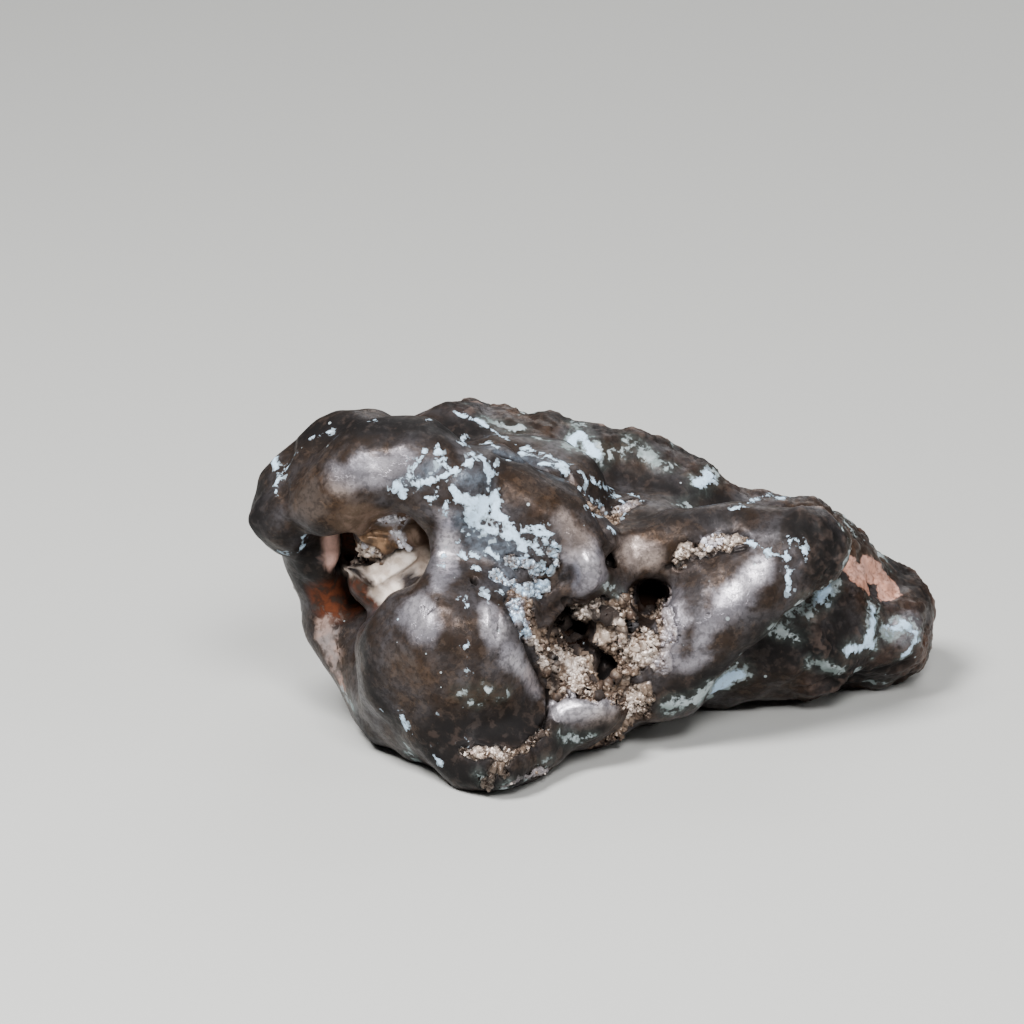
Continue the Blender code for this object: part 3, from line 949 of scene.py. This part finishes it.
def feed(tree, socket, source):
    """Links a socket to its source or sets it to a value; a colour is three numbers."""
    if isinstance(source, bpy.types.NodeSocket):
        tree.links.new(source, socket)
    elif isinstance(source, tuple):
        socket.default_value = (*source, 1)
    else:
        socket.default_value = source


def node(tree, kind, inputs=None, **settings):
    """Adds a shader node with these inputs and settings."""
    made = tree.nodes.new("ShaderNode" + kind)
    for name, value in settings.items():
        setattr(made, name, value)
    for name, source in (inputs or {}).items():
        feed(tree, made.inputs[name], source)
    return made


def home(*sources):
    """The node tree that the sockets among some sources are in."""
    return next(source.id_data for source in sources if isinstance(source, bpy.types.NodeSocket))


def mix(factor, first, second, blend="MIX"):
    """A colour between two others, or one laid over the other by a blend."""
    inputs = {0: factor, 6: first, 7: second}
    tree = home(*inputs.values())
    return node(tree, "Mix", inputs, data_type="RGBA", blend_type=blend).outputs[2]


def sums(operation, first, *others):
    """Arithmetic on two or more values, from left to right."""
    tree = home(first, *others)
    for other in others:
        first = node(tree, "Math", {0: first, 1: other}, operation=operation).outputs[0]
    return first


plus = functools.partial(sums, "ADD")
minus = functools.partial(sums, "SUBTRACT")
times = functools.partial(sums, "MULTIPLY")
most = functools.partial(sums, "MAXIMUM")


def between(value, low, high, to_low=0.0, to_high=1.0):
    """A value carried from one range to another, smoothly and without going past it."""
    inputs = {"Value": value, "From Min": low, "From Max": high, "To Min": to_low, "To Max": to_high}
    return node(home(value), "MapRange", inputs, interpolation_type="SMOOTHSTEP").outputs[0]


def kept_in(tree, name):
    """A number that the mesh keeps for each vertex."""
    return node(tree, "Attribute", attribute_name=name).outputs["Fac"]


def shader_group(name, inputs, outputs):
    """An empty node group with named sockets, and its two end nodes."""
    group = bpy.data.node_groups.new(name, "ShaderNodeTree")
    for label, value in inputs.items():
        socket = group.interface.new_socket(label, in_out="INPUT", socket_type="NodeSocketFloat")
        socket.default_value = value
    for label, kind in outputs.items():
        group.interface.new_socket(label, in_out="OUTPUT", socket_type="NodeSocket" + kind)
    return group, group.nodes.new("NodeGroupInput").outputs, group.nodes.new("NodeGroupOutput").inputs


def place_group(tree, group, **values):
    """Places a node group in a material with its own values, and gives its outputs."""
    inputs = {name.replace("_", " "): value for name, value in values.items()}
    return node(tree, "Group", inputs, node_tree=group).outputs


def surface(name):
    """A material with one Principled shader, and its node tree."""
    material = bpy.data.materials.new(name)
    material.use_nodes = True
    return material, material.node_tree


def coat(tree, **sources):
    """Feeds the shader of a material; what is the same all over is set on its own sockets."""
    shader = tree.nodes["Principled BSDF"]
    for name, source in sources.items():
        feed(tree, shader.inputs[name.replace("_", " ")], source)


def mottle_group():
    """Blotches at two sizes, from 0 to 1, and lone specks."""
    group, given, out = shader_group(
        "mottle",
        {"Blotch mm": 3.0, "Seed": 0.0},
        {"Blotches": "Float", "Fine": "Float", "Specks": "Float"},
    )
    place = node(group, "TexCoord").outputs["Object"]
    scale = sums("DIVIDE", 1 / MM, given["Blotch mm"])
    blotch = {"Vector": place, "W": given["Seed"], "Scale": scale, "Detail": 5.0, "Roughness": 0.6,
              "Distortion": 0.4}
    fine = {"Vector": place, "W": given["Seed"], "Scale": times(scale, 6.0), "Detail": 4.0,
            "Roughness": 0.65}
    blotch = node(group, "TexNoise", blotch, noise_dimensions="4D").outputs[0]
    fine = node(group, "TexNoise", fine, noise_dimensions="4D").outputs[0]
    cells = node(group, "TexVoronoi", {"Vector": place, "Scale": times(scale, 2.4)}).outputs
    luck = node(group, "SeparateColor", {"Color": cells["Color"]}).outputs[0]
    feed(group, out["Blotches"], between(blotch, 0.36, 0.64))
    feed(group, out["Fine"], between(fine, 0.3, 0.7))
    feed(group, out["Specks"], sums("LESS_THAN", cells["Distance"], between(luck, 0.86, 1.0, 0.0, 0.14)))
    return group


def fine_relief_group():
    """The finest relief of a surface, as a normal: soft dents, sharp grit and what else is given."""
    group, given, out = shader_group(
        "fine_relief",
        {"Dents mm": 0.6, "Dent depth mm": 0.02, "Grit mm": 0.12, "Grit depth mm": 0.01,
         "Extra mm": 0.0},
        {"Normal": "Vector"},
    )
    place = node(group, "TexCoord").outputs["Object"]
    layers = []
    for size, depth, detail in (("Dents mm", "Dent depth mm", 2.0), ("Grit mm", "Grit depth mm", 3.0)):
        scale = sums("DIVIDE", 1 / MM, given[size])
        form = node(group, "TexNoise", {"Vector": place, "Detail": detail, "Scale": scale})
        layers.append(times(form.outputs[0], given[depth]))
    height = plus(*layers, given["Extra mm"])
    bump = node(group, "Bump", {"Height": height, "Distance": MM, "Strength": 1.0})
    feed(group, out["Normal"], bump.outputs[0])
    return group


# ---------------------------------------------------------------- materials

# Colours, as linear light.
# Near black: dark mottle of the patina, and the colour of painted shade in hollows, creases and on sides
# turned from the light.
BLACK_PATINA_AND_SHADE = (0.010, 0.009, 0.009)
# Painted shade in the holes and the deep gaps, a very dark brown.
PIT_SHADE = (0.016, 0.008, 0.005)
CHOCOLATE = (0.032, 0.022, 0.017)
GUNMETAL = (0.058, 0.053, 0.056)
UMBER = (0.085, 0.058, 0.040)
RUDDY = (0.110, 0.053, 0.034)
WARMTH = (1.18, 1.0, 0.80)
WORN_COPPER = (0.240, 0.165, 0.135)
VEIL_GREEN = (0.075, 0.092, 0.085)
LILAC = (0.360, 0.340, 0.380)
# Pale lilac-white of the painted highlights.
HIGHLIGHT_WHITE = (0.640, 0.600, 0.640)
SLATE = (0.120, 0.142, 0.175)
COPPER = (0.600, 0.290, 0.205)
SALMON = (0.620, 0.360, 0.290)
# Pale rose: pink copper lightened as painted light.
LIT_ROSE = (0.960, 0.600, 0.510)
OXIDE_RED = (0.140, 0.042, 0.020)
CREAM_WHITE = (0.880, 0.770, 0.690)
SAND = (0.560, 0.450, 0.370)
TAN = (0.220, 0.155, 0.112)
RUST = (0.080, 0.047, 0.032)
PINK = (0.360, 0.240, 0.200)
MAUVE = (0.200, 0.172, 0.165)
GOLDEN = (0.300, 0.180, 0.105)
# Cocoa brown, lightened as painted light for the lump in the cave's shade.
LIT_COCOA = (0.170, 0.115, 0.088)
CRUST_WHITE = (0.560, 0.770, 1.000)
CRUST_GREY = (0.300, 0.370, 0.430)
HAZE_WHITE = (0.430, 0.490, 0.510)
HAZE_GREY = (0.150, 0.185, 0.180)
CRYSTAL = (0.780, 0.780, 0.860)
CRYSTAL_DUSK = (0.420, 0.380, 0.400)
PALE_FLOOR = (0.540, 0.540, 0.520)
SKY = (0.800, 0.820, 0.850)
SKY_STRENGTH = 0.08


def patina(tree, mottle):
    """Patinated copper over all its zones: its colour, roughness, metal and relief in mm."""
    kept = functools.partial(kept_in, tree)
    spots = place_group(tree, mottle, Blotch_mm=3.2)
    blotch = spots["Blotches"]
    fine = spots["Fine"]
    broad = place_group(tree, mottle, Blotch_mm=8.0, Seed=4.0)["Blotches"]
    small = place_group(tree, mottle, Blotch_mm=1.0, Seed=9.0)["Blotches"]
    reddish = place_group(tree, mottle, Blotch_mm=5.0, Seed=12.0)["Blotches"]
    flecks = place_group(tree, mottle, Blotch_mm=1.9, Seed=3.0)["Specks"]
    unseen = between(kept("shown"), 0, 1, 1.0, 0.3)

    # Brown and gunmetal patina, ruddy on the hidden sides.
    colour = mix(blotch, CHOCOLATE, GUNMETAL)
    colour = mix(between(broad, 0.2, 0.9, 0.0, 0.5), colour, CHOCOLATE)
    ruddy = times(between(reddish, 0.4, 0.9, 0.0, 0.6), unseen, kept("hidden"))
    colour = mix(ruddy, colour, RUDDY)
    islands = times(between(small, 0.62, 0.74), between(broad, 0.3, 0.6))
    colour = mix(times(islands, 0.25), colour, UMBER)

    # Thin metal partly painted as highlight, painted highlights, warm and filmed places, and painted
    # shade.
    # Thin patina showing violet-grey, partly a painted highlight.
    satin_and_highlight = between(plus(kept("satin_and_highlight"), between(blotch, 0, 1, -0.15, 0.1)), 0.0, 1.0)
    satin_and_highlight = times(satin_and_highlight, between(small, 0, 1, 0.7, 1.0), between(fine, 0.1, 0.5, 0.75, 1.0))
    colour = mix(satin_and_highlight, colour, LILAC)
    # Painted highlights in pale lilac-white.
    painted_highlight = times(kept("painted_highlight"), between(fine, 0.0, 0.7, 0.9, 0.6))
    colour = mix(painted_highlight, colour, HIGHLIGHT_WHITE)
    colour = mix(kept("warm"), colour, mix(1.0, colour, WARMTH, "MULTIPLY"))
    film = times(kept("film"), between(small, 0.1, 0.7, 0.4, 0.95))
    colour = mix(film, colour, SLATE)
    # Painted shade: near black where the nugget is turned from the light.
    painted_shade = times(kept("painted_shade"), between(small, 0, 1, 1.0, 0.85))
    colour = mix(painted_shade, colour, BLACK_PATINA_AND_SHADE)
    colour = mix(between(fine, 0.3, 0.9, 0.0, 0.45), colour, BLACK_PATINA_AND_SHADE)

    # Painted shade in the hollows, worn copper on the knobs and a green veil round the haze.
    colour = mix(between(kept("hollow"), 0.03, 0.2, 0.0, 0.8), colour, BLACK_PATINA_AND_SHADE)
    worn = times(kept("hidden"), between(kept("hollow"), -0.04, -0.16), between(blotch, 0, 1, 0.15, 0.75),
                 unseen)
    colour = mix(worn, colour, WORN_COPPER)
    veil = times(between(kept("haze"), -1.2, 0.1, 0.0, 0.5), between(small, 0, 1, 0.3, 1.0))
    colour = mix(veil, colour, VEIL_GREEN)

    # The zones of bare or stained metal and of mineral.  The cream fold carries a painted highlight, the
    # brown lump and the rosy lens are lightened as painted light, and the holes are painted with their
    # shade.
    pink = between(plus(kept("pink"), between(small, 0, 1, -0.3, 0.2)), 0.1, 0.9)
    raw = between(plus(kept("raw"), between(small, 0, 1, -0.45, 0.05)), 0.1, 0.6)
    bare = mix(between(fine, 0.45, 1.0, 0.0, 0.6), mix(blotch, COPPER, SALMON), RUDDY)
    frost = times(kept("crystals"), between(small, 0.3, 0.5))
    for where, tint in (
        (kept("oxide"), mix(small, OXIDE_RED, CHOCOLATE)),
        (kept("cocoa"), mix(small, LIT_COCOA, UMBER)),
        (kept("golden"), mix(small, GOLDEN, UMBER)),
        (pink, mix(blotch, PINK, MAUVE)),
        (kept("rosy"), mix(between(small, 0, 1, 0, 0.5), LIT_ROSE, SALMON)),
        (raw, bare),
        (kept("cream"), mix(small, CREAM_WHITE, SAND)),
        (frost, mix(fine, CRYSTAL, CRYSTAL_DUSK)),
        (kept("holes"), PIT_SHADE),
    ):
        colour = mix(where, colour, tint)

    # Haze, crust with its spatter, flecks, and painted shade along the hairline creases.
    haze = plus(kept("haze"), between(small, 0, 1, -0.35, 0.4), between(fine, 0, 1, -0.2, 0.25))
    haze = between(haze, -0.1, 0.4, 0.0, 0.9)
    colour = mix(haze, colour, mix(blotch, HAZE_WHITE, HAZE_GREY))
    edge = plus(kept("crust"), between(small, 0, 1, -0.09, 0.23), between(fine, 0, 1, -0.10, 0.13))
    spatter = plus(between(small, 0.5, 1.0, 0.0, 0.9), between(kept("crust"), -1.4, -0.1, -1.0, -0.35))
    crust = most(between(edge, -0.04, 0.04), between(spatter, 0.3, 0.42, 0.0, 0.8))
    chalk = mix(between(edge, 0.0, 0.25), CRUST_GREY, CRUST_WHITE)
    chalk = mix(between(fine, 0.5, 1.0, 0.0, 0.4), chalk, CRUST_GREY)
    colour = mix(crust, colour, chalk)
    flecks = most(times(flecks, kept("speckled")), spots["Specks"])
    colour = mix(times(flecks, 0.7), colour, HAZE_WHITE)
    # Painted shade along the hairline creases, beside their shallow bump.
    crease = between(plus(kept("crease"), between(fine, 0, 1, -0.05, 0.05)), -0.15, 0.0)
    colour = mix(times(crease, 0.6), colour, BLACK_PATINA_AND_SHADE)

    # Mineral and stains are dull, bare and rubbed metal is not.
    dull = most(crust, haze, kept("cream"), kept("oxide"), kept("holes"), pink, kept("rosy"))
    rough = plus(between(fine, 0, 1, 0.28, 0.42), times(most(dull, times(painted_shade, 0.4)), 0.35))
    metal = plus(times(most(satin_and_highlight, worn), 0.55), 0.35)
    metal = times(metal, minus(1.0, painted_shade), minus(1.0, dull))
    height = minus(plus(times(crust, 0.05), times(islands, -0.012)), times(crease, 0.04))
    return colour, rough, metal, height


def dark_patina(mottle, fine_relief):
    """The worn skin: brown and gunmetal patina, with its pale, bare, red and cream zones, and painted
    highlights and painted shade.
    """
    material, tree = surface("dark_patina")
    colour, rough, metal, height = patina(tree, mottle)
    grain = place_group(tree, fine_relief, Dents_mm=0.9, Dent_depth_mm=0.035, Grit_mm=0.16,
                        Grit_depth_mm=0.010, Extra_mm=height)
    coat(tree, Base_Color=colour, Roughness=rough, Metallic=metal, Normal=grain["Normal"],
         Specular_IOR_Level=0.04)
    return material


def eaten_copper(mottle, fine_relief):
    """The saddle: cream, sand and tan crumbs with rust between them, and painted shade, near black, in
    its holes and deep gaps.
    """
    material, tree = surface("eaten_copper")
    kept = functools.partial(kept_in, tree)
    around = patina(tree, mottle)[0]
    spots = place_group(tree, mottle, Blotch_mm=1.4, Seed=2.0)
    blotch = spots["Blotches"]
    fine = spots["Fine"]
    tone = kept("tone")
    lit = times(kept("cream_crumbs"), between(tone, 0.0, 0.3, 0.55, 1.0))
    crusted = times(kept("pebbles"), between(tone, 0.1, 0.5, 0.15, 1.0))
    # Painted shade on the crumbs, where the skin around them is painted near black.
    crumb_shade = times(kept("painted_shade"), between(kept("cream_crumbs"), 0, 1, 0.6, 0.0))
    # Painted shade in the holes and in the deep gaps between crumbs.
    dark = most(between(kept("sunk"), 0.05, 0.3), kept("holes"))
    colour = mix(between(tone, 0.0, 0.6), RUST, TAN)
    for where, tint in (
        (between(tone, 0.7, 1.0), SAND),
        (lit, mix(blotch, CREAM_WHITE, SAND)),
        (times(kept("lilac_crumbs"), between(tone, 0, 1, 0.9, 0.5)), LILAC),
        (crusted, mix(blotch, CRUST_WHITE, CRUST_GREY)),
        (between(fine, 0.4, 1.0, 0.0, 0.5), RUST),
        (between(kept("middle"), 0.0, 0.5, 0.7, 0.0), RUST),
        (crumb_shade, BLACK_PATINA_AND_SHADE),
        (times(kept("tan_floor"), 0.9), mix(blotch, TAN, SAND)),
        (dark, PIT_SHADE),
    ):
        colour = mix(where, colour, tint)
    colour = mix(between(kept("bitten"), 0.25, 0.6), around, colour)
    rough = plus(between(fine, 0, 1, 0.26, 0.55), times(dark, 0.5))
    metal = times(between(tone, 0, 1, 0.5, 0.15), minus(1.0, dark))
    grain = place_group(tree, fine_relief, Dents_mm=0.3, Dent_depth_mm=0.05, Grit_mm=0.1,
                        Grit_depth_mm=0.02)
    coat(tree, Base_Color=colour, Roughness=rough, Metallic=metal, Normal=grain["Normal"],
         Specular_IOR_Level=0.6)
    return material


def grain_paint(fine_relief):
    """Loose grains: each one rust, tan, sand, pink or cream."""
    material, tree = surface("grains")
    tint = kept_in(tree, "tint")
    colour = mix(between(tint, 0.0, 0.3), RUST, TAN)
    colour = mix(between(tint, 0.3, 0.6), colour, SAND)
    colour = mix(between(tint, 0.6, 0.7), colour, PINK)
    colour = mix(between(tint, 0.7, 0.9), colour, CREAM_WHITE)
    grain = place_group(tree, fine_relief, Dents_mm=0.3, Dent_depth_mm=0.03, Grit_mm=0.1,
                        Grit_depth_mm=0.01)
    coat(tree, Base_Color=colour, Roughness=between(tint, 0, 1, 0.45, 0.18),
         Metallic=between(tint, 0.3, 0.8, 0.6, 0.1), Normal=grain["Normal"], Specular_IOR_Level=0.7)
    return material


def crystal_paint(fine_relief):
    """Small blue-white crystals, some of them dusky."""
    material, tree = surface("white_crystal")
    tint = kept_in(tree, "tint")
    colour = mix(between(tint, 0.4, 1.0), CRYSTAL, CRYSTAL_DUSK)
    grain = place_group(tree, fine_relief, Dents_mm=0.5, Dent_depth_mm=0.02, Grit_mm=0.1,
                        Grit_depth_mm=0.008)
    coat(tree, Base_Color=colour, Roughness=between(tint, 0, 1, 0.15, 0.4), Normal=grain["Normal"],
         Specular_IOR_Level=0.7)
    return material


# ---------------------------------------------------------------- stage

def camera():
    """A long lens that looks down a little at the show side."""
    data = bpy.data.cameras.new("camera")
    data.sensor_width = FILM
    data.lens = CAMERA_FOCUS / VIEW * FILM
    data.clip_start = 0.01
    data.clip_end = 20
    eye = bpy.data.objects.new("camera", data)
    eye.location = CAMERA_PLACE * MM
    eye.rotation_euler = (math.pi / 2 - CAMERA_DIP, 0, 0)
    bpy.context.collection.objects.link(eye)
    bpy.context.scene.camera = eye


def soft_light(name, direction, away, size, power):
    """A square soft light that looks at the nugget from a direction."""
    data = bpy.data.lights.new(name, "AREA")
    data.size = size
    data.energy = power
    lamp = bpy.data.objects.new(name, data)
    place = Vector(direction).normalized() * away
    lamp.location = place + LIT_POINT
    lamp.rotation_euler = place.to_track_quat("Z", "Y").to_euler()
    bpy.context.collection.objects.link(lamp)


def studio():
    """A plain pale floor under soft lights."""
    bpy.ops.mesh.primitive_plane_add(size=FLOOR_SIZE)
    floor = bpy.context.object
    floor.name = "floor"
    material, tree = surface("pale_floor")
    coat(tree, Base_Color=PALE_FLOOR, Roughness=0.7, Specular_IOR_Level=0.2)
    floor.data.materials.append(material)
    soft_light("key", (-0.38, -0.42, 0.82), away=0.5, size=0.16, power=5.0)
    soft_light("front", (0.12, -0.74, 0.66), away=0.6, size=0.16, power=3.6)
    soft_light("side", (0.85, -0.3, 0.45), away=0.7, size=0.3, power=0.8)
    soft_light("rear", (0.2, 0.8, 0.6), away=0.7, size=0.4, power=1.8)
    world = bpy.data.worlds.new("studio")
    bpy.context.scene.world = world
    world.use_nodes = True
    sky = world.node_tree.nodes["Background"].inputs
    feed(world.node_tree, sky["Color"], SKY)
    feed(world.node_tree, sky["Strength"], SKY_STRENGTH)


# ---------------------------------------------------------------- the nugget

def finish_piece(piece, material):
    """Keeps a piece in the solid's box, brings it to metres, paints it and ties it to the frame."""
    low, high = (np.array(corner) / MM for corner in solid_box)
    put(piece, np.clip(places(piece), low, high))
    piece.data.transform(Matrix.Scale(MM, 4))
    piece.data.update()
    piece.data.materials.clear()
    piece.data.materials.append(material)
    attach(piece, "root")


def build():
    """Makes the nugget's four pieces and the stage round them."""
    camera()
    skin = worn_skin()
    found = zones(skin)
    weather(skin, found)
    for name, values in found.items():
        store(skin, name, values)
    dice = np.random.default_rng(DICE_SEED)
    noise.seed_set(DICE_SEED)
    saddle = eaten_saddle(skin, dice)
    white = white_crystals(skin, dice)
    grains = loose_grains(saddle, dice)
    raise_by(skin, -SADDLE_BED, eased(found["bitten"], 0.15, 0.5))
    modify(skin, "DECIMATE", ratio=SKIN_FACES / (2 * len(skin.data.polygons)))
    skin.data.shade_smooth()
    mottle = mottle_group()
    fine_relief = fine_relief_group()
    finish_piece(skin, dark_patina(mottle, fine_relief))
    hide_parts("nugget")
    finish_piece(saddle, eaten_copper(mottle, fine_relief))
    finish_piece(grains, grain_paint(fine_relief))
    finish_piece(white, crystal_paint(fine_relief))
    studio()


build()
